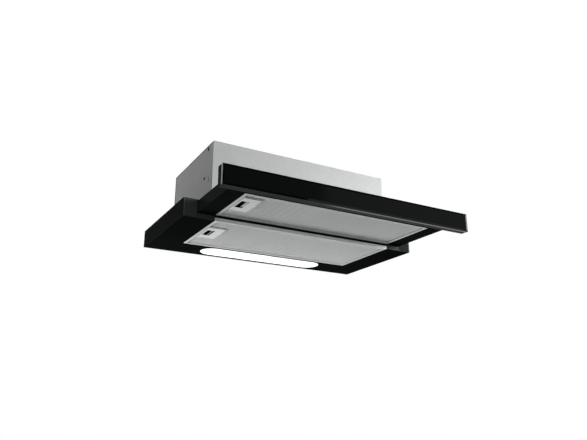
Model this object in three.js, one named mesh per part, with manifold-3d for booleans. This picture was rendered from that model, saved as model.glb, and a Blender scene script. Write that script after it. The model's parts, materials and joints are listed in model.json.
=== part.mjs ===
// Telescopic cooker hood, 600 mm wide, for a wall cabinet over a hob.
// A flat canopy with a motor housing on top, and a drawer with its own grease filter
// that slides out of the canopy's front behind a black glass fascia.
// Millimetres. X to the right, Y to the wall, Z up. The drawer is drawn fully out.
// Every shape is laid out from the front bottom edge of the canopy (y = 0, z = 0); the last
// group moves the origin to the middle of the strip that seats under the cabinet.
import * as THREE from 'three';
import { mergeVertices } from 'three/addons/utils/BufferGeometryUtils.js';
import Module from 'manifold-3d';

const wasm = await Module();
wasm.setup();

// ---------------------------------------------------------------- driving dimensions
// Clearances
const seatGap = 0.2;
const runGap = 0.5;
const plugGap = 0.3;
const cutOver = 2;
const arcSlack = 0.01;
const weldTolerance = 1e-4;

// Canopy
const canopyWidth = 600;
const canopyDepth = 280;
const canopyHeight = 41;
const sheet = 0.8;
const sideBayWidth = 32;
const baseLip = 10;
const openingLip = 9;
const frontFold = 11;
const endCapDepth = 14;
const endCapWall = 1.6;
const cabinetScrewRadius = 2.5;
const cabinetScrewInset = 40;
const seatPanDepth = 0.15;
const seatPanMargin = 1;

// Motor housing
const housingFromSide = 67.5;
const housingDepth = 254;
const housingHeight = 152;
const housingSetback = 15;
const housingFlange = 12;
const sideSlotWidth = 3.5;
const upperSlot = { fromFront: 29, low: 138, high: 147 };
const lowerSlot = { fromFront: 23, low: 59, high: 71 };
const sideHole = { fromFront: 49, up: 77, radius: 2.4 };

// Duct collar and its two backdraft flaps
const ductRadius = 60;
const collarWall = 1.8;
const collarHeight = 25;
const collarFlangeWidth = 14;
const collarFlange = 1.8;
const flapThickness = 1.2;
const flapHingeOffset = 4.5;
const flapAxisUp = 7;
const flapPinRadius = 2;
const flapEar = 3.5;

// Blower
const impellerRadius = 50.5;
const impellerHalfWidth = 49;
const bladeCount = 28;
const bladeLength = 9.5;
const bladeThickness = 1;
const bladeSweep = 14;
const impellerRim = 1.6;
const hubRadius = 9;
const scrollStart = 54.5;
const scrollEnd = 74;
const scrollWall = 2;
const scrollHalfWidth = 60;
const cutoffAngle = 60;
const inletRadius = 44;
const inletLip = 8;
const seamFlange = 4;
const mouthFlange = 6;
const blowerAxisFromFront = 107;
const blowerAxisUp = 75;

// Motor
const motorRadius = 32;
const motorLength = 50;
const motorBell = { length: 14, step: 4, slope: 1, taper: 5 };
const shaftRadius = 4;
const shaftChamfer = 0.8;
const bearingRadius = 9;
const bearingWidth = 4.8;
const bracketThickness = 2;
const bracketArms = 3;
const bracketArmWidth = 11;
const bracketOverlap = 12;

// Electrical parts
const capacitorRadius = 14;
const capacitorLength = 52;
const capacitorCrimp = 1.5;
const capacitorStud = 5.5;
const capacitorFromRight = 104;
const capacitorFromTop = 45;
const capacitorStandOff = 5.6;
const clipWidth = 12;
const clipSheet = 1.2;
const clipMouth = 10;
const terminalBox = { width: 92, depth: 52, height: 36, wall: 1.8, corner: 3 };
const terminal = { poles: 4, pitch: 11, depth: 16, base: 9, hump: 5, humpDepth: 10, screwRadius: 2 };
const glandFromRight = 88;
const glandFromRear = 60;
const glandRadius = 9;
const glandBore = 4;
const glandNut = { radius: 11, height: 4, slope: 1 };
const glandTip = 2;
const glandHeight = 16;
const driverBox = { width: 32, depth: 64, height: 19, corner: 3 };
const driverFromLamp = 12;
const driverFromRear = 8;
const driverSocket = { width: 8, depth: 9, low: 6, high: 13 };

// Lamp
const lampFromSide = 132;
const lampWidth = 61;
const lampFromRear = 45.3;
const lensProud = 0.6;
const lensThickness = 1.6;
const lampFlange = 3;
const lampTrayHeight = 15;
const lampTrayWall = 1;
const ledBoard = { inset: 20, width: 18, thickness: 1.6 };
const led = { count: 12, size: 3, height: 1, inset: 30 };

// Grease filters
const filterFromSide = 72;
const filterThickness = 7.5;
const filterWall = 1.2;
const filterRim = 7;
const filterFit = 0.8;
const rearFilterDepth = 196;
const drawerFilterDepth = 148.5;
const pleatPitch = 16;
const pleatSheet = 1.5;
const hingeTab = { width: 14, reach: 4, thickness: 1.2, up: 3.2 };

// Filter latch
const latchWidth = 40;
const latchLength = 77;
const latchProud = 0.6;
const latchPlate = 1.2;
const latchWall = 1.2;
const latchDepth = 6.4;
const latchTravel = 3;
const latchWindow = { fromLeft: 4.5, width: 17, length: 39 };
const latchSliderPlate = 1.4;
const latchFingerWidth = 11.8;
const latchFingerLength = 34;
const latchFingerLip = 1.2;
const latchEndRoom = 7;
const latchTongue = 19;
const rearLatchFromFront = 88;
const drawerLatchFromFront = 60;

// Drawer
const drawerTravel = 183;
const drawerUnderside = 12;
const drawerTopClearance = 1;
const drawerTail = 17;
const fasciaRearGap = 1.5;
const drawerFilterFromTail = 19.8;
const sideChannelWidth = 24.5;
const channelLip = 5;

// Ball slides
const railLength = 246;
const railHeight = 21;
const railWidth = 10;
const railSheet = 1;
const railFront = 4;
const innerRailHeight = 12;
const ballRadius = 1.55;
const ballsPerTrack = 4;
const cageSheet = 0.6;
const cageLipWidth = 5;
const cageEndRoom = 1.5;
const ballFromWeb = 3;
const hangerFlange = 9;

// Fascia
const fasciaWidth = 598;
const glassHeight = 42;
const glassDrop = 0.2;
const glassThickness = 6;
const glassBevelWidth = 4.5;
const glassBevelDepth = 0.5;
const channelDepth = 15;
const channelInset = 0.6;
const channelWall = 1.2;
const channelCorner = 1;
const fasciaEndThickness = 1.4;
const fasciaEndPlug = 8;

// Controls, behind the fascia on the drawer's underside
const controlLength = 112;
const controlDepth = 24;
const controlHeight = 14;
const controlWall = 1.5;
const controlCorner = 2;
const controlFromRight = 34;
const speedKnobFromEnd = 22;
const lightKnobFromEnd = 24;
const knob = { length: 13, width: 10, drop: 3.3, ridges: 3, ridgeWidth: 1.6, ridgeHeight: 1 };
const knobStem = { length: 6, width: 3 };
const knobCarriage = { height: 4, narrowing: 2 };
const speedTravel = 24;
const lightTravel = 8;

// ---------------------------------------------------------------- derived places
const canopyHalf = canopyWidth / 2;
const canopyTopUnder = canopyHeight - sheet;
const housingHalf = canopyHalf - housingFromSide;
const housingFront = housingSetback;
const housingRear = housingSetback + housingDepth;
const housingTop = canopyHeight + housingHeight;
const housingTopUnder = housingTop - sheet;
const seatStripMiddle = housingSetback / 2;
const seatPanFloor = canopyHeight - seatPanDepth;

const filterHalf = canopyHalf - filterFromSide;
const openingHalf = filterHalf + filterFit;
const rearFilterFront = 0;
const rearFilterBack = rearFilterFront + rearFilterDepth;

const drawerHalf = canopyHalf - sideBayWidth - runGap;
const drawerTop = canopyTopUnder - drawerTopClearance;
const drawerFloor = drawerUnderside + sheet;
const fasciaRear = -drawerTravel - fasciaRearGap;
const drawerFront = fasciaRear + seatGap;
const drawerFilterBack = drawerTail - drawerFilterFromTail;
const drawerFilterFront = drawerFilterBack - drawerFilterDepth;
const drawerWallInner = drawerHalf - sheet;
const channelInnerWall = drawerWallInner - sideChannelWidth + sheet;

const railMiddle = (drawerFloor + drawerTop) / 2;
const railOuterFace = drawerWallInner - seatGap;
const railInnerFace = railOuterFace - railWidth;

const blowerY = housingFront + blowerAxisFromFront;
const blowerZ = canopyHeight + blowerAxisUp;
const mouthTop = housingTopUnder - seatGap;
const mouthHalf = ductRadius - collarWall;
const tipY = blowerY + scrollStart * Math.cos(THREE.MathUtils.degToRad(cutoffAngle));
const tipZ = blowerZ + scrollStart * Math.sin(THREE.MathUtils.degToRad(cutoffAngle));
const ductY = (tipY + blowerY + scrollEnd) / 2;
const flapAxisZ = housingTop + flapAxisUp;

const lampLength = canopyWidth - 2 * lampFromSide;
const lampY = canopyDepth - lampFromRear;
const lampFloor = sheet + seatGap;

// ---------------------------------------------------------------- solids
function solid(geometry) {
  geometry.deleteAttribute('normal');
  geometry.deleteAttribute('uv');
  const merged = mergeVertices(geometry, weldTolerance);
  const vertProperties = new Float32Array(merged.attributes.position.array);
  const triVerts = new Uint32Array(merged.index.array);
  return new wasm.Manifold(new wasm.Mesh({ numProp: 3, vertProperties, triVerts }));
}

function join(...solids) {
  return solids.reduce((whole, next) => whole.add(next));
}

function cut(body, ...tools) {
  return tools.reduce((rest, tool) => rest.subtract(tool), body);
}

function block([x0, x1], [y0, y1], [z0, z1]) {
  const geometry = new THREE.BoxGeometry(x1 - x0, y1 - y0, z1 - z0);
  geometry.translate((x0 + x1) / 2, (y0 + y1) / 2, (z0 + z1) / 2);
  return solid(geometry);
}

// A shape drawn in the plane across the axis, extruded from one place on the axis to another.
// Across x it is drawn in (y, z), across y in (x, z) and across z in (x, y).
function prism(shape, axis, from, to, curveSegments = 12, bevel = { bevelEnabled: false }) {
  const options = { depth: to - from, curveSegments, ...bevel };
  const geometry = new THREE.ExtrudeGeometry(shape, options);
  const x = new THREE.Vector3(1, 0, 0);
  const y = new THREE.Vector3(0, 1, 0);
  const z = new THREE.Vector3(0, 0, 1);
  if (axis === 'x') {
    geometry.applyMatrix4(new THREE.Matrix4().makeBasis(y, z, x));
    geometry.translate(from, 0, 0);
  } else if (axis === 'y') {
    geometry.applyMatrix4(new THREE.Matrix4().makeBasis(x, z, y.clone().negate()));
    geometry.translate(0, to, 0);
  } else {
    geometry.translate(0, 0, from);
  }
  return solid(geometry);
}

// A closed or axis-to-axis profile of [radius, along] points, turned about an axis.
function turned(profile, axis, place, segments = 48) {
  const points = profile.map(([radius, along]) => new THREE.Vector2(radius, along));
  const geometry = new THREE.LatheGeometry(points, segments);
  if (axis === 'x') {
    geometry.rotateZ(-Math.PI / 2);
  } else if (axis === 'z') {
    geometry.rotateX(Math.PI / 2);
  }
  geometry.translate(...place);
  return solid(geometry);
}

function rod(radius, axis, from, to, [a, b], segments = 24) {
  const places = { x: [0, a, b], y: [a, 0, b], z: [a, b, 0] };
  return turned([[0, from], [radius, from], [radius, to], [0, to]], axis, places[axis], segments);
}

function ring(inner, outer, axis, from, to, place, segments = 48) {
  const profile = [[inner, from], [outer, from], [outer, to], [inner, to], [inner, from]];
  return turned(profile, axis, place, segments);
}

function outline(points) {
  return new THREE.Shape(points.map(([a, b]) => new THREE.Vector2(a, b)));
}

function roundedRectangle([a0, a1], [b0, b1], radius) {
  const shape = new THREE.Shape();
  shape.moveTo(a0 + radius, b0);
  shape.lineTo(a1 - radius, b0);
  shape.absarc(a1 - radius, b0 + radius, radius, -Math.PI / 2, 0, false);
  shape.lineTo(a1, b1 - radius);
  shape.absarc(a1 - radius, b1 - radius, radius, 0, Math.PI / 2, false);
  shape.lineTo(a0 + radius, b1);
  shape.absarc(a0 + radius, b1 - radius, radius, Math.PI / 2, Math.PI, false);
  shape.lineTo(a0, b0 + radius);
  shape.absarc(a0 + radius, b0 + radius, radius, Math.PI, Math.PI * 1.5, false);
  return shape;
}

function stadium(length, width, [a, b]) {
  return roundedRectangle(
    [a - length / 2, a + length / 2],
    [b - width / 2, b + width / 2],
    width / 2 - arcSlack,
  );
}

// The same solid on the other side of the hood's middle plane.
function mirrored(body) {
  const mesh = body.getMesh();
  const vertProperties = mesh.vertProperties.map((value, i) => (i % 3 === 0 ? -value : value));
  const triVerts = mesh.triVerts.slice().reverse();
  return new wasm.Manifold(new wasm.Mesh({ numProp: 3, vertProperties, triVerts }));
}

// ---------------------------------------------------------------- scene graph
const hood = new THREE.Group();

function finish(color, roughness, metalness) {
  return { color, roughness, metalness };
}

const blackPaint = finish(0x1b201e, 0.45, 0.2);
const blackPlastic = finish(0x16191a, 0.6, 0);
const galvanised = finish(0xb4b7b6, 0.45, 0.7);
const aluminium = finish(0xa4a8a6, 0.4, 0.8);
const mesh = finish(0x9a9e9c, 0.55, 0.7);
const greyPlastic = finish(0xb9bcba, 0.6, 0);
const railSteel = finish(0xc3c6c6, 0.3, 0.9);
const glass = finish(0x06100d, 0.08, 0);
const whitePlastic = finish(0xf4f5f2, 0.5, 0);
const darkMotor = finish(0x4a4d50, 0.5, 0.6);

function add(name, body, { color, roughness, metalness }) {
  const data = body.getMesh();
  const geometry = new THREE.BufferGeometry();
  geometry.setAttribute('position', new THREE.BufferAttribute(data.vertProperties, 3));
  geometry.setIndex(new THREE.BufferAttribute(data.triVerts, 1));
  geometry.computeVertexNormals();
  const material = new THREE.MeshStandardMaterial({ color, roughness, metalness });
  const piece = new THREE.Mesh(geometry, material);
  piece.name = name;
  hood.add(piece);
}

function addPair(name, rightBody, look) {
  add(`${name}_right`, rightBody, look);
  add(`${name}_left`, mirrored(rightBody), look);
}

// ---------------------------------------------------------------- canopy
// Top, sides and rear of one folded sheet. The housing stands in a shallow pressed pan, so that
// only the border round it seats under the cabinet.
function canopyShell() {
  const outer = block([-canopyHalf, canopyHalf], [0, canopyDepth], [0, canopyHeight]);
  const pan = (rim, z) => block(
    [-housingHalf - rim, housingHalf + rim], [housingFront - rim, housingRear + rim], z,
  );
  const panUnder = pan(seatPanMargin + sheet, [seatPanFloor - sheet, canopyTopUnder + seatPanDepth]);
  const panRoom = pan(seatPanMargin, [seatPanFloor, canopyHeight + cutOver]);
  const inner = block(
    [-canopyHalf + sheet, canopyHalf - sheet],
    [-cutOver, canopyDepth - sheet],
    [-cutOver, canopyTopUnder],
  );
  const airOpening = block(
    [-housingHalf + sheet + housingFlange, housingHalf - sheet - housingFlange],
    [housingFront + sheet + housingFlange, housingRear - sheet - housingFlange],
    [seatPanFloor - sheet - cutOver, canopyHeight + cutOver],
  );
  const screwHoles = [-1, 1].flatMap((side) =>
    [cabinetScrewInset, canopyDepth - cabinetScrewInset].map((y) => {
      const x = side * (canopyHalf + housingHalf) / 2;
      const z = [canopyTopUnder - cutOver, canopyHeight + cutOver];
      return rod(cabinetScrewRadius, 'z', ...z, [x, y], 12);
    }));
  return cut(join(cut(outer, inner), panUnder), panRoom, airOpening, ...screwHoles);
}

function hingeTabPlaces(front, depth) {
  return [front + depth / 4, front + depth * 3 / 4];
}

// Slots in the sheet lips beside a filter: for its two hinge tabs and its latch tongue.
function filterSlots(front, depth, latchY, underside) {
  const tabs = hingeTabPlaces(front, depth).map((y) => block(
    [openingHalf - cutOver, openingHalf + sheet + cutOver],
    [y - hingeTab.width / 2 - runGap, y + hingeTab.width / 2 + runGap],
    [underside + hingeTab.thickness, underside + filterThickness],
  ));
  const tongue = block(
    [-openingHalf - sheet - cutOver, -openingHalf + cutOver],
    [latchY - latchTongue / 2 - runGap, latchY + latchTongue / 2 + runGap],
    [underside + sheet, underside + sheet + 3 * latchSliderPlate],
  );
  return [...tabs, tongue];
}

function canopyBase() {
  const edge = canopyHalf - sheet - plugGap;
  const rear = canopyDepth - sheet - plugGap;
  const openingRear = rearFilterBack + filterFit;
  const tray = cut(
    block([-edge, edge], [0, rear], [0, baseLip]),
    block([-edge + sheet, edge - sheet], [-cutOver, rear - sheet], [sheet, baseLip + cutOver]),
  );
  const capRoom = block(
    [-edge - cutOver, edge + cutOver],
    [-cutOver, endCapDepth + plugGap],
    [sheet, baseLip + cutOver],
  );
  const openingRim = block(
    [-openingHalf - sheet, openingHalf + sheet], [0, openingRear + sheet], [0, openingLip],
  );
  const frontFolds = [-1, 1].map((side) => {
    const span = [side * openingHalf, side * (drawerHalf - seatGap)].sort((a, b) => a - b);
    return block(span, [0, sheet], [0, frontFold]);
  });
  const opening = block(
    [-openingHalf, openingHalf],
    [-cutOver, openingRear],
    [-cutOver, frontFold + cutOver],
  );
  const lampWindow = prism(
    stadium(lampLength + 2 * plugGap, lampWidth + 2 * plugGap, [0, lampY]),
    'z', -cutOver, sheet + cutOver, 7,
  );
  const latchY = rearFilterFront + rearLatchFromFront;
  const slots = filterSlots(rearFilterFront, rearFilterDepth, latchY, 0);
  const folded = join(cut(tray, capRoom), openingRim, ...frontFolds);
  return cut(folded, opening, lampWindow, ...slots);
}

// Moulded cap that closes the front of the bay beside the drawer, with two snap legs.
function endCap() {
  const x = [drawerHalf + runGap + plugGap, canopyHalf - sheet - plugGap];
  const z = [sheet + seatGap, canopyTopUnder - seatGap];
  const cup = cut(
    block(x, [0, endCapDepth], z),
    block(
      [x[0] + endCapWall, x[1] - endCapWall],
      [endCapWall, endCapDepth + cutOver],
      [z[0] + endCapWall, z[1] - endCapWall],
    ),
  );
  const legWidth = (x[1] - x[0]) / 3;
  const middle = (x[0] + x[1]) / 2;
  const legSpan = [middle - legWidth / 2, middle + legWidth / 2];
  const legReach = [endCapDepth - endCapWall, 2 * endCapDepth];
  const legs = [z[0], z[1] - endCapWall].map((foot) =>
    block(legSpan, legReach, [foot, foot + endCapWall]));
  return join(cup, ...legs);
}

// ---------------------------------------------------------------- motor housing
function sideCutouts() {
  const across = [-housingHalf - cutOver, housingHalf + cutOver];
  const slots = [upperSlot, lowerSlot].map(({ fromFront, low, high }) => {
    const y = housingFront + fromFront;
    return prism(
      roundedRectangle(
        [y - sideSlotWidth / 2, y + sideSlotWidth / 2],
        [canopyHeight + low, canopyHeight + high],
        sideSlotWidth / 2 - arcSlack,
      ),
      'x', ...across, 4,
    );
  });
  const place = [housingFront + sideHole.fromFront, canopyHeight + sideHole.up];
  return [...slots, rod(sideHole.radius, 'x', ...across, place, 12)];
}

// Front wall and both side walls, bent from one sheet, with flanges turned inwards.
function housingWrap() {
  const x = [-housingHalf, housingHalf];
  const y = [housingFront, housingRear - sheet - seatGap];
  const z = [seatPanFloor + seatGap, housingTopUnder - seatGap];
  const walls = block(x, y, z);
  const room = block(
    [x[0] + sheet, x[1] - sheet],
    [y[0] + sheet, y[1] + cutOver],
    [z[0] + sheet, z[1] - sheet],
  );
  const between = block(
    [x[0] + sheet + housingFlange, x[1] - sheet - housingFlange],
    [y[0] + sheet + housingFlange, y[1] + cutOver],
    [z[0] - cutOver, z[1] + cutOver],
  );
  return cut(walls, room, between, ...sideCutouts());
}

function housingRearPanel() {
  const z = [seatPanFloor + seatGap, housingTopUnder - seatGap];
  const panel = block([-housingHalf, housingHalf], [housingRear - sheet, housingRear], z);
  const flangeX = housingHalf - sheet - plugGap;
  const flangeZ = [z[0] + sheet + plugGap, z[1] - sheet - plugGap];
  const flanges = [-1, 1].map((side) => block(
    [side * flangeX, side * (flangeX - sheet)].sort((a, b) => a - b),
    [housingRear - sheet - housingFlange, housingRear - sheet / 2],
    flangeZ,
  ));
  return join(panel, ...flanges);
}

function housingTopPlate() {
  const plate = block(
    [-housingHalf, housingHalf],
    [housingFront, housingRear],
    [housingTopUnder, housingTop],
  );
  const ductHole = rod(
    ductRadius - collarWall, 'z', housingTopUnder - cutOver, housingTop + cutOver, [0, ductY], 40,
  );
  const glandHole = rod(
    glandRadius - collarWall + plugGap, 'z', housingTopUnder - cutOver, housingTop + cutOver,
    glandPlace, 24,
  );
  return cut(plate, ductHole, glandHole);
}

// ---------------------------------------------------------------- duct collar and flaps
// Moulded spigot: flange, tube, the ledge that the closed flaps lie on, and a bar across it
// with two ears that carry the flap pins.
function ductCollar() {
  const base = housingTop + seatGap;
  const ledge = flapAxisZ - flapThickness / 2 - plugGap;
  const inner = ductRadius - collarWall;
  const rings = turned(
    [
      [inner - collarWall, base],
      [ductRadius + collarFlangeWidth, base],
      [ductRadius + collarFlangeWidth, base + collarFlange],
      [ductRadius, base + collarFlange],
      [ductRadius, base + collarHeight],
      [inner, base + collarHeight],
      [inner, ledge],
      [inner - collarWall, ledge],
      [inner - collarWall, base],
    ],
    'z', [0, ductY, 0], 40,
  );
  const barHalf = 2 * flapHingeOffset;
  const pinClear = flapPinRadius + plugGap;
  const barTop = flapAxisZ - pinClear;
  const bar = block([-inner, inner], [ductY - barHalf, ductY + barHalf], [base, barTop]);
  const ears = [-1, 1].map((side) => {
    const reach = [side * inner, side * (inner - collarWall - flapEar)].sort((a, b) => a - b);
    return block(reach, [ductY - barHalf, ductY + barHalf], [base, flapAxisZ + 2 * flapPinRadius]);
  });
  const pinHoles = [-1, 1].map((side) => rod(
    pinClear, 'x', -inner + collarWall / 2, inner - collarWall / 2,
    [ductY + side * flapHingeOffset, flapAxisZ], 12,
  ));
  return cut(join(rings, bar, ...ears), ...pinHoles);
}

// Half disc with a pin along its straight edge; side is 1 for the rear flap, -1 for the front.
function backdraftFlap(side) {
  const radius = ductRadius - collarWall - runGap;
  const earClear = ductRadius - 2 * collarWall - flapEar - runGap;
  const z = [flapAxisZ - flapThickness / 2, flapAxisZ + flapThickness / 2];
  const disc = rod(radius, 'z', ...z, [0, ductY], 40);
  const hinge = ductY + side * flapHingeOffset;
  const outer = ductY + side * 2 * ductRadius;
  const half = block([-ductRadius, ductRadius], [hinge, outer].sort((a, b) => a - b), z);
  const earRoom = [-1, 1].map((end) => block(
    [end * earClear, end * ductRadius].sort((a, b) => a - b),
    [hinge - 2 * flapHingeOffset, hinge + 2 * flapHingeOffset],
    [z[0] - cutOver, z[1] + cutOver],
  ));
  const pinEnd = ductRadius - 1.5 * collarWall - plugGap;
  const pin = rod(flapPinRadius, 'x', -pinEnd, pinEnd, [hinge, flapAxisZ], 12);
  return join(cut(disc.intersect(half), ...earRoom), pin);
}

// ---------------------------------------------------------------- blower
// The scroll's radius grows evenly from the cut-off all the way round to the outlet.
function scrollPoints(offset) {
  const steps = 18;
  const start = THREE.MathUtils.degToRad(cutoffAngle);
  const turn = 2 * Math.PI - start;
  return Array.from({ length: steps + 1 }, (_, i) => {
    const angle = start + turn * i / steps;
    const radius = scrollStart + (scrollEnd - scrollStart) * i / steps + offset;
    return [blowerY + radius * Math.cos(angle), blowerZ + radius * Math.sin(angle)];
  });
}

// The outlet: up from the end of the scroll, then flared to the duct's width.
function mouthPoints(offset, top) {
  return [
    [blowerY, blowerZ],
    [blowerY + scrollEnd + offset, blowerZ],
    [blowerY + scrollEnd + offset, tipZ - scrollWall],
    [ductY + mouthHalf + offset, top],
    [ductY - mouthHalf - offset, top],
    [tipY - offset, tipZ],
  ];
}

function scrollForm(offset, top, x0, x1) {
  return join(
    prism(outline(scrollPoints(offset)), 'x', x0, x1),
    prism(outline(mouthPoints(offset, top)), 'x', x0, x1),
  );
}

// Right half of the scroll housing, open at the seam, with a bell-mouth inlet.
function scrollHalf() {
  const x = [seatGap / 2, scrollHalfWidth];
  const seam = scrollForm(scrollWall + seamFlange, mouthTop, x[0], x[0] + scrollWall);
  const shell = scrollForm(scrollWall, mouthTop, ...x);
  const rim = block(
    [x[0], x[1] + mouthFlange],
    [ductY - mouthHalf - scrollWall - mouthFlange, ductY + mouthHalf + scrollWall + mouthFlange],
    [mouthTop - scrollWall, mouthTop],
  );
  const room = scrollForm(0, mouthTop + cutOver, x[0] - cutOver, x[1] - scrollWall);
  const mouth = block(
    [x[0] - cutOver, x[1] - scrollWall],
    [ductY - mouthHalf, ductY + mouthHalf],
    [mouthTop - scrollWall - seatGap, mouthTop + cutOver],
  );
  const inlet = rod(inletRadius, 'x', x[0], x[1] + cutOver, [blowerY, blowerZ], 28);
  const lip = turned(
    [
      [inletRadius, x[1] - inletLip],
      [inletRadius + scrollWall / 2, x[1] - inletLip],
      [inletRadius + scrollWall, x[1] - scrollWall / 2],
      [inletRadius + 2 * scrollWall, x[1]],
      [inletRadius + scrollWall, x[1]],
      [inletRadius, x[1] - scrollWall],
      [inletRadius, x[1] - inletLip],
    ],
    'x', [0, blowerY, blowerZ], 28,
  );
  const body = cut(join(seam, shell, rim), room, mouth, inlet);
  return join(body, lip);
}

// One forward-curved blade, drawn at the top of the wheel as an arc of even thickness.
function bladeOutline(turn) {
  const steps = 2;
  const inner = impellerRadius - bladeLength;
  const side = (shift) => Array.from({ length: steps + 1 }, (_, i) => {
    const radius = inner + (bladeLength - impellerRim / 2) * i / steps;
    const bend = THREE.MathUtils.degToRad(bladeSweep) * (i / steps) ** 2;
    const angle = turn + bend + shift / radius;
    return [blowerY + radius * Math.cos(angle), blowerZ + radius * Math.sin(angle)];
  });
  return outline([...side(-bladeThickness / 2), ...side(bladeThickness / 2).reverse()]);
}

// Double-inlet squirrel-cage wheel: middle disc, blades through both halves, two end rims.
function impeller() {
  const centre = [0, blowerY, blowerZ];
  const half = impellerHalfWidth;
  const discRadius = impellerRadius - impellerRim / 2;
  const disc = rod(discRadius, 'x', -impellerRim / 2, impellerRim / 2, [blowerY, blowerZ], 28);
  const hub = turned(
    [
      [0, -hubRadius],
      [hubRadius, -hubRadius],
      [hubRadius + bladeLength / 2, 0],
      [hubRadius, hubRadius],
      [0, hubRadius],
    ],
    'x', centre, 24,
  );
  const rimInner = impellerRadius - bladeLength - seatGap;
  const rims = [-half, half - impellerRim].map((x) =>
    ring(rimInner, impellerRadius, 'x', x, x + impellerRim, centre, 28));
  const blades = Array.from({ length: bladeCount }, (_, i) =>
    prism(bladeOutline(2 * Math.PI * i / bladeCount), 'x', -half + seatGap, half - seatGap));
  const bore = rod(
    shaftRadius + seatGap, 'x', -2 * hubRadius, 2 * hubRadius, [blowerY, blowerZ], 16,
  );
  return cut(join(disc, hub, ...rims, ...blades), bore);
}

// ---------------------------------------------------------------- motor
const motorOuter = -scrollHalfWidth;
const motorInner = motorOuter + motorLength;

function motorBody() {
  const { length, step, slope, taper } = motorBell;
  const waist = motorRadius - step;
  const bore = shaftRadius + runGap;
  const pocket = bearingRadius + seatGap;
  const pocketDepth = bearingWidth + seatGap;
  const end = (face, inward) => [
    [pocket, face],
    [motorRadius / 2, face],
    [waist, face + inward * taper],
    [waist, face + inward * length],
    [motorRadius, face + inward * (length + slope)],
  ];
  return turned(
    [
      ...end(motorOuter, 1),
      ...end(motorInner, -1).reverse(),
      [pocket, motorInner - pocketDepth],
      [bore, motorInner - pocketDepth],
      [bore, motorOuter + pocketDepth],
      [pocket, motorOuter + pocketDepth],
      [pocket, motorOuter],
    ],
    'x', [0, blowerY, blowerZ], 24,
  );
}

function motorBearing(x) {
  const bore = shaftRadius + seatGap;
  return ring(bore, bearingRadius, 'x', x, x + bearingWidth, [0, blowerY, blowerZ], 24);
}

function motorShaft() {
  const ends = [motorOuter - bearingWidth, hubRadius + shaftRadius];
  return turned(
    [
      [0, ends[0]],
      [shaftRadius - shaftChamfer, ends[0]],
      [shaftRadius, ends[0] + shaftChamfer],
      [shaftRadius, ends[1] - shaftChamfer],
      [shaftRadius - shaftChamfer, ends[1]],
      [0, ends[1]],
    ],
    'x', [0, blowerY, blowerZ], 16,
  );
}

// Spider that carries the motor in the left inlet: hub plate and three arms on the scroll's side.
function motorBracket() {
  const x1 = motorOuter - seatGap;
  const x0 = x1 - bracketThickness;
  const hub = rod(motorRadius - motorBell.step, 'x', x0, x1, [blowerY, blowerZ], 32);
  const reach = inletRadius + bracketOverlap;
  const arms = Array.from({ length: bracketArms }, (_, i) => {
    const angle = 2 * Math.PI * i / bracketArms + Math.PI / 2;
    const corner = (side, along) => [
      blowerY + along * Math.cos(angle) - side * bracketArmWidth / 2 * Math.sin(angle),
      blowerZ + along * Math.sin(angle) + side * bracketArmWidth / 2 * Math.cos(angle),
    ];
    const corners = [
      corner(-1, shaftRadius), corner(-1, reach), corner(1, reach), corner(1, shaftRadius),
    ];
    return prism(outline(corners), 'x', x0, x1);
  });
  const centreHole = rod(
    bearingRadius + plugGap, 'x', x0 - cutOver, x1 + cutOver, [blowerY, blowerZ], 24,
  );
  return cut(join(hub, ...arms), centreHole);
}

// ---------------------------------------------------------------- electrical parts
const glandPlace = [housingHalf - glandFromRight, housingRear - glandFromRear];
const capacitorStart = housingHalf - capacitorFromRight;
const capacitorY = housingFront + sheet + capacitorStandOff + capacitorRadius;
const capacitorZ = housingTop - capacitorFromTop;

function capacitor() {
  const r = capacitorRadius;
  const end = capacitorStart + capacitorLength;
  return turned(
    [
      [0, capacitorStart],
      [r - capacitorCrimp, capacitorStart],
      [r, capacitorStart + capacitorCrimp],
      [r, end - 2 * capacitorCrimp],
      [r - capacitorCrimp, end - capacitorCrimp],
      [r / 3, end - capacitorCrimp],
      [r / 3, end + capacitorStud - capacitorCrimp],
      [0, end + capacitorStud - capacitorCrimp],
    ],
    'x', [0, capacitorY, capacitorZ], 24,
  );
}

// Sprung strap round the capacitor with a foot on the housing's front wall.
function capacitorClip() {
  const middle = capacitorStart + capacitorLength / 2;
  const x = [middle - clipWidth / 2, middle + clipWidth / 2];
  const wall = housingFront + sheet + seatGap;
  const inner = capacitorRadius + plugGap;
  const height = (half) => [capacitorZ - half, capacitorZ + half];
  const strap = ring(inner, inner + clipSheet, 'x', ...x, [0, capacitorY, capacitorZ], 24);
  const foot = block(x, [wall, wall + clipSheet], height(capacitorRadius));
  const neck = block(x, [wall, capacitorY - inner - clipSheet / 3], height(clipWidth / 3));
  const mouth = block(
    [x[0] - cutOver, x[1] + cutOver],
    [capacitorY, capacitorY + 2 * capacitorRadius],
    height(clipMouth / 2),
  );
  return join(cut(strap, mouth), foot, neck);
}

function terminalCase() {
  const [x, y] = terminalSpans();
  const { height, wall, corner } = terminalBox;
  const top = housingTopUnder - seatGap;
  const shell = prism(roundedRectangle(x, y, corner), 'z', top - height, top, 3);
  const room = block(
    [x[0] + wall, x[1] - wall],
    [y[0] + wall, y[1] - wall],
    [top - height - cutOver, top - wall],
  );
  const cordHole = rod(glandRadius, 'z', top - wall - cutOver, top + cutOver, glandPlace, 24);
  return cut(shell, room, cordHole);
}

// The case's two spans, with the cord's way in at its middle.
function terminalSpans() {
  const [cx, cy] = glandPlace;
  const { width, depth } = terminalBox;
  return [[cx - width / 2, cx + width / 2], [cy - depth / 2, cy + depth / 2]];
}

const lidTop = housingTopUnder - 2 * seatGap - terminalBox.height;

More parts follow.
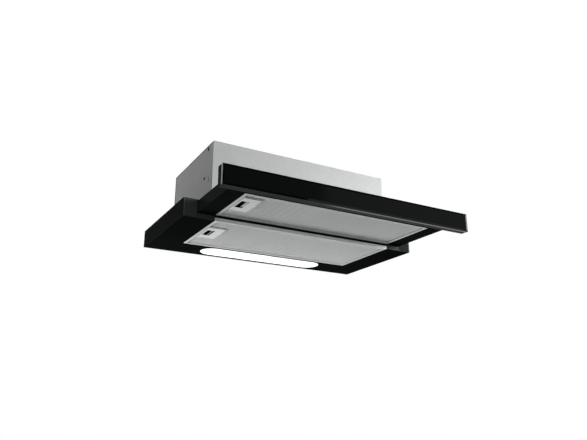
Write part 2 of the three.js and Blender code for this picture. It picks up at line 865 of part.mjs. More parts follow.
function terminalLid() {
  const [x, y] = terminalSpans();
  const { wall, corner } = terminalBox;
  const inset = wall + plugGap;
  const plug = block(
    [x[0] + inset, x[1] - inset], [y[0] + inset, y[1] - inset], [lidTop - wall / 2, lidTop + wall],
  );
  return join(prism(roundedRectangle(x, y, corner), 'z', lidTop - wall, lidTop, 3), plug);
}

// Row of screw terminals in a block that stands on the lid inside the case.
function terminalStrip() {
  const [cx, cy] = glandPlace;
  const { poles, pitch, depth, base, hump, humpDepth, screwRadius } = terminal;
  const bottom = lidTop + terminalBox.wall + seatGap;
  const start = cx - poles * pitch / 2;
  const across = (width) => [cy - width / 2, cy + width / 2];
  const strip = block([start, start + poles * pitch], across(depth), [bottom, bottom + base]);
  const middles = Array.from({ length: poles }, (_, i) => start + pitch * (i + 0.5));
  const humps = middles.map((x) => block(
    [x - pitch / 3, x + pitch / 3], across(humpDepth), [bottom + base / 2, bottom + base + hump],
  ));
  const screws = middles.map((x) => rod(
    screwRadius, 'z', bottom + base + hump / 2, bottom + base + hump + cutOver, [x, cy], 12,
  ));
  return cut(join(strip, ...humps), ...screws);
}

// Strain relief of the mains cord: a nut on the top plate and a tapered sleeve with a through
// bore, that ends in the terminal case.
function cableGland() {
  const base = housingTop + seatGap;
  const under = housingTopUnder - seatGap - 2 * terminalBox.wall;
  const neck = glandRadius - collarWall;
  return turned(
    [
      [glandBore, under],
      [neck, under],
      [neck, base],
      [glandNut.radius, base],
      [glandNut.radius, base + glandNut.height],
      [glandRadius, base + glandNut.height + glandNut.slope],
      [neck, base + glandHeight - glandTip],
      [neck - collarWall, base + glandHeight],
      [glandBore, base + glandHeight],
      [glandBore, under],
    ],
    'z', [...glandPlace, 0], 20,
  );
}

// ---------------------------------------------------------------- lamp
function lampLens() {
  const seat = [lampFloor, lampFloor + lensThickness];
  const lower = prism(stadium(lampLength, lampWidth, [0, lampY]), 'z', -lensProud, seat[1], 7);
  const flange = prism(
    stadium(lampLength + 2 * lampFlange, lampWidth + 2 * lampFlange, [0, lampY]),
    'z', ...seat, 7,
  );
  return join(lower, flange);
}

function lampTray() {
  const base = lampFloor + lensThickness + seatGap;
  const form = (inset, z) => prism(
    stadium(
      lampLength + 2 * (lampFlange - inset),
      lampWidth + 2 * (lampFlange - inset),
      [0, lampY],
    ),
    'z', ...z, 7,
  );
  return cut(
    form(0, [base, base + lampTrayHeight]),
    form(lampTrayWall, [base - cutOver, base + lampTrayHeight - lampTrayWall]),
  );
}

function ledStrip() {
  const top = lampFloor + lensThickness + lampTrayHeight - lampTrayWall;
  const under = top - ledBoard.thickness;
  const halfLength = lampLength / 2 - ledBoard.inset;
  const board = block(
    [-halfLength, halfLength],
    [lampY - ledBoard.width / 2, lampY + ledBoard.width / 2],
    [under, top],
  );
  const start = -lampLength / 2 + led.inset;
  const pitch = -2 * start / (led.count - 1);
  const leds = Array.from({ length: led.count }, (_, i) => block(
    [start + i * pitch - led.size / 2, start + i * pitch + led.size / 2],
    [lampY - led.size / 2, lampY + led.size / 2],
    [under - led.height, under + ledBoard.thickness / 3],
  ));
  return join(board, ...leds);
}

// Closed driver box beside the lamp, behind the pushed-in drawer, with two plug sockets.
function ledDriver() {
  const { width, depth, height, corner } = driverBox;
  const x0 = lampLength / 2 + lampFlange + driverFromLamp;
  const y1 = canopyDepth - 2 * sheet - plugGap - driverFromRear;
  const z0 = sheet + seatGap;
  const body = prism(
    roundedRectangle([x0, x0 + width], [y1 - depth, y1], corner), 'z', z0, z0 + height, 3,
  );
  const sockets = [1, 3].map((quarter) => {
    const y = y1 - depth * quarter / 4;
    return block(
      [x0 + width - driverSocket.depth, x0 + width + cutOver],
      [y - driverSocket.width / 2, y + driverSocket.width / 2],
      [z0 + driverSocket.low, z0 + driverSocket.high],
    );
  });
  return cut(body, ...sockets);
}

// ---------------------------------------------------------------- grease filters
// Rim of folded aluminium, open to the inside, with hinge tabs on the right-hand end.
function filterFrame({ front, depth, underside, latchY }) {
  const y = [front, front + depth];
  const z = [underside, underside + filterThickness];
  const outer = block([-filterHalf, filterHalf], y, z);
  const opening = block(
    [-filterHalf + filterRim, filterHalf - filterRim],
    [y[0] + filterRim, y[1] - filterRim],
    [z[0] - cutOver, z[1] + cutOver],
  );
  const groove = block(
    [-filterHalf + filterWall, filterHalf - filterWall],
    [y[0] + filterWall, y[1] - filterWall],
    [z[0] + filterWall, z[1] - filterWall],
  );
  const tabs = hingeTabPlaces(front, depth).map((middle) => block(
    [filterHalf - filterWall, filterHalf + hingeTab.reach],
    [middle - hingeTab.width / 2, middle + hingeTab.width / 2],
    [underside + hingeTab.up, underside + hingeTab.up + hingeTab.thickness],
  ));
  const tongueSlot = block(
    [-filterHalf - cutOver, -filterHalf + filterRim],
    [latchY - latchTongue / 2 - runGap, latchY + latchTongue / 2 + runGap],
    [underside + filterWall - runGap, underside + filterWall + 2 * latchSliderPlate],
  );
  return cut(join(cut(outer, opening, groove), ...tabs), tongueSlot);
}

// Mesh pad, pleated across the hood, held by its edges in the rim and cut out for the latch.
function filterPad({ front, depth, underside, latchY }) {
  const inset = filterWall + plugGap;
  const edge = filterHalf - inset;
  const z = [underside + inset, underside + filterThickness - inset];
  const folds = 2 * Math.round(2 * edge / pleatPitch);
  const step = 2 * edge / folds;
  const lower = Array.from({ length: folds + 1 }, (_, i) => [
    -edge + i * step,
    i % 2 === 0 ? z[0] : z[1] - pleatSheet,
  ]);
  const upper = lower.map(([x, height]) => [x, height + pleatSheet]).reverse();
  const pad = prism(outline([...lower, ...upper]), 'y', front + inset, front + depth - inset);
  const latchRoom = block(
    [-filterHalf, -filterHalf + filterRim + latchWidth + 2 * plugGap],
    [latchY - latchLength / 2 - plugGap, latchY + latchLength / 2 + plugGap],
    [z[0] - cutOver, z[1] + cutOver],
  );
  return cut(pad, latchRoom);
}

const latchLeft = -filterHalf + filterRim + plugGap;

// Face plate with a finger window, and a case over it that holds the slider.
function latchCase({ underside, latchY }) {
  const x = [latchLeft, latchLeft + latchWidth];
  const y = [latchY - latchLength / 2, latchY + latchLength / 2];
  const plateTop = underside - latchProud + latchPlate;
  const plate = block(x, y, [underside - latchProud, plateTop]);
  const inset = latchWall / 2;
  const shell = block(
    [x[0] + inset, x[1] - inset],
    [y[0] + inset, y[1] - inset],
    [plateTop - latchPlate / 2, underside + latchDepth],
  );
  const room = block(
    [x[0] + inset + latchWall, x[1] - inset - latchWall],
    [y[0] + inset + latchWall, y[1] - inset - latchWall],
    [plateTop, underside + latchDepth - latchWall],
  );
  const window = block(
    [x[0] + latchWindow.fromLeft, x[0] + latchWindow.fromLeft + latchWindow.width],
    [latchY - latchWindow.length / 2, latchY + latchWindow.length / 2],
    [underside - cutOver, plateTop + plugGap],
  );
  const tongueSlot = block(
    [x[0] - cutOver, x[0] + 3 * latchWall],
    [latchY - latchTongue / 2 - runGap, latchY + latchTongue / 2 + runGap],
    [plateTop, plateTop + latchSliderPlate + 2 * runGap],
  );
  return cut(join(plate, shell), room, window, tongueSlot);
}

// Sliding plate with the finger hole, the finger bar beside it and the tongue on its left.
function latchSlider({ underside, latchY }) {
  const face = underside - latchProud;
  const floor = face + latchPlate + plugGap;
  const z = [floor, floor + latchSliderPlate];
  const room = [latchLeft + 1.5 * latchWall, latchLeft + latchWidth - 1.5 * latchWall];
  const x = [room[0] + plugGap, room[1] - plugGap - latchTravel];
  const along = (length) => [latchY - length / 2, latchY + length / 2];
  const plate = block(x, along(latchFingerLength + 2 * latchEndRoom), z);
  const holeLeft = latchLeft + latchWindow.fromLeft;
  const holeRight = holeLeft + latchFingerWidth;
  const fingerHole = block(
    [holeLeft, holeRight], along(latchFingerLength), [z[0] - cutOver, z[1] + cutOver],
  );
  const fingerLip = block(
    [holeRight, holeRight + latchFingerLip], along(latchFingerLength), [face + plugGap, z[1]],
  );
  const tongue = block([-filterHalf + seatGap, x[0] + latchWall], along(latchTongue), z);
  return join(cut(plate, fingerHole), fingerLip, tongue);
}

function addFilter(name, place) {
  add(`${name}_frame`, filterFrame(place), aluminium);
  add(`${name}_mesh`, filterPad(place), mesh);
  add(`${name}_latch_case`, latchCase(place), greyPlastic);
  add(`${name}_latch_slider`, latchSlider(place), greyPlastic);
}

// ---------------------------------------------------------------- drawer
const controlRight = filterHalf - controlFromRight;
const controlLeft = controlRight - controlLength;
const controlMiddle = (drawerFront + drawerFilterFront) / 2;
const speedKnobX = controlLeft + speedKnobFromEnd;
const lightKnobX = controlRight - lightKnobFromEnd;

// Slot along X for a knob's stem that starts at x and travels to the right.
function knobSlot(x, travel, z) {
  return block(
    [x - knobStem.length / 2 - runGap, x + travel + knobStem.length / 2 + runGap],
    [controlMiddle - knobStem.width / 2 - runGap, controlMiddle + knobStem.width / 2 + runGap],
    z,
  );
}

function drawerFrame() {
  const y = [drawerFront, drawerTail];
  const opening = [drawerFilterFront - filterFit, drawerFilterBack + filterFit];
  const floor = block([-drawerHalf, drawerHalf], y, [drawerUnderside, drawerFloor]);
  const rim = block(
    [-openingHalf - sheet, openingHalf + sheet],
    [opening[0] - sheet, opening[1] + sheet],
    [drawerUnderside, drawerUnderside + openingLip],
  );
  const filterOpening = block(
    [-openingHalf, openingHalf],
    opening,
    [drawerUnderside - cutOver, drawerUnderside + openingLip + cutOver],
  );
  const walls = [-1, 1].flatMap((side) => {
    const span = (a, b) => [side * a, side * b].sort((p, q) => p - q);
    return [
      block(span(drawerHalf - sheet, drawerHalf), y, [drawerUnderside, drawerTop]),
      block(span(drawerHalf - channelLip, drawerHalf), y, [drawerTop - sheet, drawerTop]),
      block(span(channelInnerWall - sheet, channelInnerWall), y, [drawerUnderside, drawerTop]),
    ];
  });
  const front = block(
    [-drawerHalf, drawerHalf], [y[0], y[0] + sheet], [drawerUnderside, drawerTop],
  );
  const latchY = drawerFilterFront + drawerLatchFromFront;
  const slots = filterSlots(drawerFilterFront, drawerFilterDepth, latchY, drawerUnderside);
  const slotSpan = [drawerUnderside - cutOver, drawerFloor + cutOver];
  return cut(
    join(floor, rim, front, ...walls),
    filterOpening,
    ...slots,
    knobSlot(speedKnobX, speedTravel, slotSpan),
    knobSlot(lightKnobX, lightTravel, slotSpan),
  );
}

function drawerCover() {
  const half = channelInnerWall - sheet - plugGap;
  const y = [drawerFront + sheet + plugGap, drawerTail];
  return cut(
    block([-half, half], y, [drawerTop - baseLip, drawerTop]),
    block([-half + sheet, half - sheet], [y[0] - cutOver, y[1] + cutOver],
      [drawerTop - baseLip - cutOver, drawerTop - sheet]),
  );
}

// ---------------------------------------------------------------- ball slides
function cSection(webX, tipX, halfHeight, thickness) {
  const inward = Math.sign(tipX - webX) * thickness;
  return outline([
    [webX, -halfHeight],
    [tipX, -halfHeight],
    [tipX, -halfHeight + thickness],
    [webX + inward, -halfHeight + thickness],
    [webX + inward, halfHeight - thickness],
    [tipX, halfHeight - thickness],
    [tipX, halfHeight],
    [webX, halfHeight],
  ].map(([x, z]) => [x, z + railMiddle]));
}

function fixedRail() {
  const section = cSection(railInnerFace, railOuterFace - 2 * railSheet, railHeight / 2, railSheet);
  return prism(section, 'y', railFront, railFront + railLength);
}

function drawerRail() {
  const section = cSection(railOuterFace, railInnerFace + 3 * railSheet, innerRailHeight / 2, railSheet);
  const front = railFront - drawerTravel;
  return prism(section, 'y', front, front + railLength);
}

// Bent strip that holds the balls between the two rails.
function ballCage() {
  const length = railLength - drawerTravel - 2 * cageEndRoom;
  const start = railFront + cageEndRoom;
  const track = (innerRailHeight / 2 + railHeight / 2 - railSheet) / 2;
  const web = railInnerFace + railSheet + runGap;
  const section = cSection(web, web + cageLipWidth, track + cageSheet / 2, cageSheet);
  const strip = prism(section, 'y', start, start + length);
  const spacing = length / ballsPerTrack;
  const balls = [-1, 1].flatMap((side) => Array.from({ length: ballsPerTrack }, (_, i) => {
    const ball = new THREE.SphereGeometry(ballRadius, 6, 4);
    const x = web + ballFromWeb;
    ball.translate(x, start + (i + 0.5) * spacing, railMiddle + side * track);
    return solid(ball);
  }));
  return join(strip, ...balls);
}

// Long angle that hangs the fixed rail from the canopy's top.
function railHanger() {
  const face = railInnerFace - seatGap;
  const top = canopyTopUnder - seatGap;
  const y = [railFront + endCapWall, railFront + railLength - endCapWall];
  const plate = block([face - sheet, face], y, [railMiddle - railHeight / 2, top]);
  const flange = block([face - hangerFlange, face], y, [top - sheet, top]);
  return join(plate, flange);
}

// ---------------------------------------------------------------- fascia
const channelZ = [-glassDrop + channelInset, -glassDrop + glassHeight - channelInset];
const channelY = [fasciaRear - channelDepth + seatGap, fasciaRear];
const fasciaHalf = fasciaWidth / 2;

function fasciaChannel() {
  const half = fasciaHalf - fasciaEndThickness - seatGap;
  const outer = prism(roundedRectangle(channelY, channelZ, channelCorner), 'x', -half, half, 3);
  const room = block(
    [-half - cutOver, half + cutOver],
    [channelY[0] + channelWall, channelY[1] - channelWall],
    [channelZ[0] + channelWall, channelZ[1] - channelWall],
  );
  return cut(outer, room);
}

// Black glass with a wide flat bevel ground round its front.
function fasciaGlass() {
  const rear = fasciaRear - channelDepth;
  const z = [-glassDrop, -glassDrop + glassHeight];
  const flat = outline([
    [-fasciaHalf + glassBevelWidth, z[0] + glassBevelWidth],
    [fasciaHalf - glassBevelWidth, z[0] + glassBevelWidth],
    [fasciaHalf - glassBevelWidth, z[1] - glassBevelWidth],
    [-fasciaHalf + glassBevelWidth, z[1] - glassBevelWidth],
  ]);
  const bevel = {
    bevelEnabled: true,
    bevelThickness: glassBevelDepth,
    bevelSize: glassBevelWidth,
    bevelSegments: 1,
  };
  const slab = prism(flat, 'y', rear - glassThickness + glassBevelDepth, rear, 1, bevel);
  const behind = block(
    [-fasciaWidth, fasciaWidth], [rear, rear + glassThickness], [-glassHeight, 2 * glassHeight],
  );
  return cut(slab, behind);
}

function fasciaEnd() {
  const face = fasciaHalf - fasciaEndThickness;
  const plate = prism(
    roundedRectangle(channelY, channelZ, channelCorner), 'x', face, fasciaHalf, 3,
  );
  const inset = channelWall + plugGap;
  const plugSection = (wall, x) => block(
    x,
    [channelY[0] + inset + wall, channelY[1] - inset - wall],
    [channelZ[0] + inset + wall, channelZ[1] - inset - wall],
  );
  const plug = cut(
    plugSection(0, [face - fasciaEndPlug, fasciaHalf - fasciaEndThickness / 2]),
    plugSection(channelWall, [face - fasciaEndPlug - cutOver, face]),
  );
  return join(plate, plug);
}

// ---------------------------------------------------------------- controls
function controlCase() {
  const x = [controlLeft, controlRight];
  const y = [controlMiddle - controlDepth / 2, controlMiddle + controlDepth / 2];
  const z = [drawerFloor + seatGap, drawerFloor + seatGap + controlHeight];
  const slotSpan = [z[0] - cutOver, z[0] + controlWall + cutOver];
  return cut(
    prism(roundedRectangle(x, y, controlCorner), 'z', ...z, 3),
    block(
      [x[0] + controlWall, x[1] - controlWall],
      [y[0] + controlWall, y[1] - controlWall],
      [z[0] + controlWall, z[1] - controlWall],
    ),
    knobSlot(speedKnobX, speedTravel, slotSpan),
    knobSlot(lightKnobX, lightTravel, slotSpan),
  );
}

// Ribbed knob under the sheet, its stem through the slot, and the carriage inside the case.
function controlKnob(x) {
  const face = drawerUnderside - plugGap;
  const floor = drawerFloor + seatGap + controlWall;
  const along = (middle, length) => [middle - length / 2, middle + length / 2];
  const across = (width) => along(controlMiddle, width);
  const base = face - knob.drop + knob.ridgeHeight;
  const pad = block(along(x, knob.length), across(knob.width), [base, face]);
  const pitch = knob.length / (knob.ridges + 1);
  const ridges = Array.from({ length: knob.ridges }, (_, i) => block(
    along(x - knob.length / 2 + pitch * (i + 1), knob.ridgeWidth),
    across(knob.width),
    [face - knob.drop, face - knob.ridgeHeight],
  ));
  const carriageFloor = floor + plugGap;
  const stem = block(
    along(x, knobStem.length),
    across(knobStem.width),
    [face - knob.ridgeHeight, carriageFloor + knobCarriage.height / 2],
  );
  const carriage = block(
    along(x, knob.length),
    across(knob.width - knobCarriage.narrowing),
    [carriageFloor, carriageFloor + knobCarriage.height],
  );
  return join(pad, ...ridges, stem, carriage);
}

// ---------------------------------------------------------------- assembly
add('canopy_shell', canopyShell(), blackPaint);
add('canopy_base', canopyBase(), blackPaint);
addPair('end_cap', endCap(), blackPlastic);
add('housing_wrap', housingWrap(), galvanised);
add('housing_rear_panel', housingRearPanel(), galvanised);
add('housing_top_plate', housingTopPlate(), galvanised);
add('duct_collar', ductCollar(), blackPlastic);
add('backdraft_flap_rear', backdraftFlap(1), blackPlastic);
add('backdraft_flap_front', backdraftFlap(-1), blackPlastic);

addPair('scroll_half', scrollHalf(), blackPlastic);
add('impeller', impeller(), greyPlastic);
add('motor_shaft', motorShaft(), railSteel);
add('motor_body', motorBody(), darkMotor);
add('motor_bearing_outer', motorBearing(motorOuter + seatGap / 2), railSteel);
add('motor_bearing_inner', motorBearing(motorInner - bearingWidth - seatGap / 2), railSteel);
add('motor_bracket', motorBracket(), galvanised);
add('capacitor', capacitor(), whitePlastic);
add('capacitor_clip', capacitorClip(), galvanised);
add('terminal_case', terminalCase(), blackPlastic);
add('terminal_lid', terminalLid(), blackPlastic);
add('terminal_strip', terminalStrip(), whitePlastic);
add('cable_gland', cableGland(), blackPlastic);

add('lamp_lens', lampLens(), whitePlastic);
add('lamp_tray', lampTray(), whitePlastic);
add('led_board', ledStrip(), whitePlastic);
add('led_driver', ledDriver(), whitePlastic);

addFilter('rear_filter', {
  front: rearFilterFront,
  depth: rearFilterDepth,
  underside: 0,
  latchY: rearFilterFront + rearLatchFromFront,
});
addFilter('drawer_filter', {
  front: drawerFilterFront,
  depth: drawerFilterDepth,
  underside: drawerUnderside,
  latchY: drawerFilterFront + drawerLatchFromFront,
});

addPair('rail_hanger', railHanger(), galvanised);
addPair('fixed_rail', fixedRail(), railSteel);
addPair('ball_cage', ballCage(), railSteel);
addPair('drawer_rail', drawerRail(), railSteel);

add('drawer_frame', drawerFrame(), blackPaint);
add('drawer_cover', drawerCover(), blackPaint);
add('fascia_channel', fasciaChannel(), blackPaint);
addPair('fascia_end', fasciaEnd(), blackPlastic);
add('fascia_glass', fasciaGlass(), glass);
add('control_case', controlCase(), blackPlastic);
add('speed_knob', controlKnob(speedKnobX), blackPlastic);
add('light_knob', controlKnob(lightKnobX), blackPlastic);

// The origin: middle of the strip of the canopy's top that seats under the cabinet.
hood.position.set(0, -seatStripMiddle, -canopyHeight);
const rangeHood = new THREE.Group();
rangeHood.add(hood);

export default rangeHood;
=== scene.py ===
"""Looks of a telescopic cooker hood: black canopy and drawer, galvanised motor housing,
black glass fascia, two aluminium grease filters and a long white lamp. Metres."""
import json
import math

import bmesh
import bpy
from mathutils import Matrix, Vector


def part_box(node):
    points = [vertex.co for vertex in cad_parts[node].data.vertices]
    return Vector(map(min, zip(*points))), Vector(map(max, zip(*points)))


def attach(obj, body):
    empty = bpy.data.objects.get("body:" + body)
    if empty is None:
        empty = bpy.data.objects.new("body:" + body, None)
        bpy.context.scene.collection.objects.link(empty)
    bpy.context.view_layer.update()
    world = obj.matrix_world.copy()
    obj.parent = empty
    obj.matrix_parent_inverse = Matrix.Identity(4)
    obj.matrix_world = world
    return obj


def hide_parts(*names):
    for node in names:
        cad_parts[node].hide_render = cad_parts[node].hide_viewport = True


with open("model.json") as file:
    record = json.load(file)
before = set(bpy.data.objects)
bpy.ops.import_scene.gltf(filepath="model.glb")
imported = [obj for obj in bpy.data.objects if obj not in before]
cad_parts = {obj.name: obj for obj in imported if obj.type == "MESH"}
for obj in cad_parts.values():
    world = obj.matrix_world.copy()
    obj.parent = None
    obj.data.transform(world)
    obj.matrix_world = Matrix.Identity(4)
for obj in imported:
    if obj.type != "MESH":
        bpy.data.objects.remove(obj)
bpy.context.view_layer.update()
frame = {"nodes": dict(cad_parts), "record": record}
MM = 0.001
WHITE = (1, 1, 1, 1)

BODY_OF = {node: body for body, nodes in frame["record"]["behaviour"]["bodies"].items()
           for node in nodes}
SLOT_OF = {row["node"]: row["material_slot"] for row in frame["record"]["subparts"]}
SIDES = (-1, 1)
SIDE_NAMES = ("left", "right")
FILTERS = ("rear_filter", "drawer_filter")

# ------------------------------------------------------------------ shader helpers
RAMP_PLACES = (0.35, 0.65)
WIDE_DETAIL = 4.0
FINE_DETAIL = 2.0
SPANGLE_SHARE = 0.35
RELIEF_DEPTH = 0.0002


def new_material(name):
    made = bpy.data.materials.new(name)
    made.use_nodes = True
    return made, made.node_tree, made.node_tree.nodes["Principled BSDF"]


def texture_space(tree, scale):
    place = tree.nodes.new("ShaderNodeTexCoord")
    mapping = tree.nodes.new("ShaderNodeMapping")
    mapping.inputs["Scale"].default_value = scale
    tree.links.new(place.outputs["Object"], mapping.inputs["Vector"])
    return mapping.outputs["Vector"]


def noise(tree, vector, scale, detail):
    node = tree.nodes.new("ShaderNodeTexNoise")
    node.inputs["Scale"].default_value = scale
    node.inputs["Detail"].default_value = detail
    tree.links.new(vector, node.inputs["Vector"])
    return node.outputs["Fac"]


def cells(tree, vector, scale):
    """A random grey for each crystal-like cell."""
    node = tree.nodes.new("ShaderNodeTexVoronoi")
    node.inputs["Scale"].default_value = scale
    tree.links.new(vector, node.inputs["Vector"])
    return node.outputs["Color"]


def blended(tree, first, second, share):
    mix = tree.nodes.new("ShaderNodeMix")
    mix.inputs["Factor"].default_value = share
    tree.links.new(first, mix.inputs["A"])
    tree.links.new(second, mix.inputs["B"])
    return mix.outputs["Result"]


def ramp(tree, value, low, high):
    """Colour or grey that goes from low to high with the value."""
    node = tree.nodes.new("ShaderNodeValToRGB")
    for element, place, colour in zip(node.color_ramp.elements, RAMP_PLACES, (low, high)):
        element.position = place
        element.color = (*colour, 1) if hasattr(colour, "__len__") else (colour,) * 3 + (1,)
    tree.links.new(value, node.inputs["Fac"])
    return node.outputs["Color"]


def bump(tree, shader, height, strength):
    node = tree.nodes.new("ShaderNodeBump")
    node.inputs["Strength"].default_value = strength
    node.inputs["Distance"].default_value = RELIEF_DEPTH
    tree.links.new(height, node.inputs["Height"])
    tree.links.new(node.outputs["Normal"], shader.inputs["Normal"])


def surface(name, low, high, rough, metallic=0.0, specular=0.5, coat=0.0, grain=900.0,
            blotch=9.0, relief=0.12, stretch=(1, 1, 1), spangle=0.0):
    """A finish whose colour drifts in wide blotches, with a fine grain in gloss and relief."""
    made, tree, shader = new_material(name)
    vector = texture_space(tree, stretch)
    wide = noise(tree, vector, blotch, WIDE_DETAIL)
    fine = noise(tree, vector, grain, FINE_DETAIL)
    if spangle:
        wide = blended(tree, wide, cells(tree, vector, spangle), SPANGLE_SHARE)
    tree.links.new(ramp(tree, wide, low, high), shader.inputs["Base Color"])
    tree.links.new(ramp(tree, fine, rough[0], rough[1]), shader.inputs["Roughness"])
    shader.inputs["Metallic"].default_value = metallic
    shader.inputs["Specular IOR Level"].default_value = specular
    shader.inputs["Coat Weight"].default_value = coat
    shader.inputs["Coat Roughness"].default_value = rough[0] / 2
    bump(tree, shader, fine, relief)
    return made


# ------------------------------------------------------------------ materials
GREEN_CAST = (0.82, 1.05, 0.95)
COOL_CAST = (0.985, 1.01, 1.0)
BLACK_SPREAD = 0.1
LAMP_GLOW = 0.22

# What finishes of one kind share
SHEET = {"grain": 1600.0, "relief": 0.08}
MOULDED = {"rough": (0.42, 0.52), "grain": 2200.0}
POLISHED = {"rough": (0.05, 0.08), "relief": 0.0}
ZINC = {"rough": (0.42, 0.50), "specular": 0.15, "grain": 700.0, "blotch": 22.0, "relief": 0.03}
ROLLED = {"specular": 0.1, "grain": 500.0, "blotch": 12.0, "relief": 0.06,
          "stretch": (0.15, 1, 1)}
FASTENER = {"grain": 900.0, "relief": 0.05}


def black_finish(name, level, coat, rough=(0.34, 0.42), **more):
    """Black with a slight green cast; low and high differ by a fifth."""
    low = tuple(level * share * (1 - BLACK_SPREAD) for share in GREEN_CAST)
    high = tuple(level * share * (1 + BLACK_SPREAD) for share in GREEN_CAST)
    return surface(name, low, high, rough, specular=0.0, coat=coat, **more)


def grey_finish(name, level, spread, rough, **more):
    """Grey with a faint cool cast."""
    low = tuple((level - spread) * share for share in COOL_CAST)
    high = tuple((level + spread) * share for share in COOL_CAST)
    return surface(name, low, high, rough, **more)


# Finishes, painted light and painted shade of single faces and of added pieces
# Painted shade: the down-facing faces of the canopy base and of the drawer are painted darker
# than the same black paint elsewhere on these parts.
SHADED_UNDERSIDE = black_finish("shaded_underside", level=0.0034, coat=0.0012, rough=(0.40, 0.50), **SHEET)
SHADED_DRAWER_UNDERSIDE = black_finish("shaded_drawer_underside", level=0.0052, coat=0.0012, rough=(0.40, 0.50),
                            **SHEET)
# Painted light: the canopy base's front-facing fold is painted lighter than its black paint.
LIT_BASE_FOLD = black_finish("lit_base_fold", level=0.058, coat=0.03, **SHEET)
# Painted light on the left end cap's front and painted shade on the right one's: the caps are
# alike, and only these fronts differ.
CAP_FRONT_LIGHT_AND_SHADE = {side: black_finish(f"cap_front_light_and_shade_{side}", level, coat=0.03, relief=0.15, **MOULDED)
            for side, level in zip(SIDE_NAMES, (0.066, 0.015))}
# Painted highlight along the outer edge of each end cap's front.
CAP_BEAD_HIGHLIGHT = black_finish("cap_bead_highlight", level=0.11, coat=0.03, **MOULDED)
# Painted light: the drawer frame's sideways faces are painted lighter than its black paint.
LIT_DRAWER_SIDE = black_finish("lit_drawer_side", level=0.034, coat=0.025, **SHEET)
# Painted shade, black, inside recesses: the latch pockets, behind the side walls' slots, and at
# the slots' front edges.
PAINTED_SHADE_BLACK = black_finish("painted_shade_black", level=0.003, coat=0.0, rough=(0.6, 0.7))
SATIN_PROFILE = black_finish("satin_profile", level=0.030, coat=0.018, rough=(0.26, 0.34),
                             grain=1400.0, relief=0.03)
PLUG_FACE = black_finish("plug_face", level=0.036, coat=0.03, rough=(0.40, 0.50), grain=2000.0)
# Dark for the painted shadow lines at the housing's seams, and the own colour of the rubber hole
# plugs.
SHADOW_LINE_AND_PLUG_DARK = black_finish("shadow_line_and_plug_dark", level=0.03, coat=0.02, rough=(0.5, 0.6), grain=1200.0)
# Painted highlight on the glass's right bevel, lighter and glossier than the glass; painted
# shade on its other bevels, darker and duller than the glass.
GLASS_RIGHT_BEVEL_HIGHLIGHT = black_finish("glass_right_bevel_highlight", level=0.010, coat=0.55, **POLISHED)
SHADED_GLASS_BEVEL = black_finish("glass_bevel", level=0.0016, coat=0.012, **POLISHED)
# Painted shade: the glass's down-facing edge is dark, where its other edges are light
# grey-green.
SHADED_GLASS_FOOT = black_finish("glass_foot", level=0.006, coat=0.16, rough=(0.10, 0.16), relief=0.0)
GLASS_EDGE = surface("glass_edge", low=(0.40, 0.46, 0.43), high=(0.50, 0.56, 0.53),
                     rough=(0.16, 0.26), specular=0.2, grain=300.0, blotch=40.0)
# Painted light: the front-facing faces of both filter frames are painted far lighter than the
# filter aluminium.
LIT_FILTER_FACE = grey_finish("lit_filter_face", level=0.82, spread=0.012, rough=(0.50, 0.60),
                          metallic=0.1, **ROLLED)
# Painted shade: the latch border is painted darker than the filter aluminium, to the tone of the
# shaded mesh round it.
SHADED_BORDER_METAL = grey_finish("shaded_border_metal", level=0.30, spread=0.010, rough=(0.50, 0.60),
                           specular=0.1, grain=900.0, relief=0.08)
# Painted highlight down the housing's front corners.
CORNER_HIGHLIGHT_STEEL = grey_finish("corner_highlight_steel", level=0.52, spread=0.012, **ZINC)
SCREW_STEEL = grey_finish("screw_steel", level=0.42, spread=0.05, rough=(0.26, 0.36),
                          metallic=0.85, **FASTENER)
RIVET_METAL = grey_finish("rivet_metal", level=0.60, spread=0.04, rough=(0.28, 0.38),
                          metallic=0.3, **FASTENER)


def lamp_diffuser():
    made = surface("lamp_diffuser", low=(0.92, 0.93, 0.92), high=(0.96, 0.97, 0.96),
                   rough=(0.45, 0.55), specular=0.05, grain=1800.0, relief=0.05)
    shader = made.node_tree.nodes["Principled BSDF"]
    shader.inputs["Emission Color"].default_value = WHITE
    shader.inputs["Emission Strength"].default_value = LAMP_GLOW
    return made


MATERIALS = {
    "black_paint": black_finish("black_paint", level=0.013, coat=0.025, **SHEET),
    "black_plastic": black_finish("black_plastic", level=0.020, coat=0.03, rough=(0.46, 0.58),
                                  grain=2200.0, relief=0.2),
    "galvanised_steel": grey_finish("galvanised_steel", level=0.46, spread=0.012,
                                    metallic=0.12, spangle=150.0, **ZINC),
    "filter_aluminium": grey_finish("filter_aluminium", level=0.37, spread=0.010,
                                    rough=(0.48, 0.58), metallic=0.06, **ROLLED),
    "filter_mesh": grey_finish("filter_mesh", level=0.44, spread=0.008, rough=(0.52, 0.62),
                               metallic=0.06, specular=0.1, grain=1100.0, blotch=12.0),
    "latch_grey": grey_finish("latch_grey", level=0.475, spread=0.012, rough=(0.54, 0.62),
                              specular=0.05, grain=1500.0, relief=0.06),
    "impeller_plastic": grey_finish("impeller_plastic", level=0.115, spread=0.012,
                                    rough=(0.45, 0.55), grain=1200.0),
    "bright_steel": grey_finish("bright_steel", level=0.56, spread=0.04, rough=(0.24, 0.34),
                                metallic=0.9, grain=800.0, relief=0.05, stretch=(1, 0.1, 1)),
    "motor_steel": grey_finish("motor_steel", level=0.11, spread=0.02, rough=(0.40, 0.52),
                               metallic=0.6, grain=700.0),
    "black_glass": black_finish("black_glass", level=0.0032, coat=0.03, rough=(0.17, 0.20),
                                grain=12.0, blotch=2.0, relief=0.0),
    "lamp_diffuser": lamp_diffuser(),
    "white_plastic": grey_finish("white_plastic", level=0.72, spread=0.03, rough=(0.42, 0.50),
                                 grain=1500.0),
    "led_white": surface("led_white", low=(0.72, 0.72, 0.66), high=(0.78, 0.78, 0.72),
                         rough=(0.4, 0.5)),
}


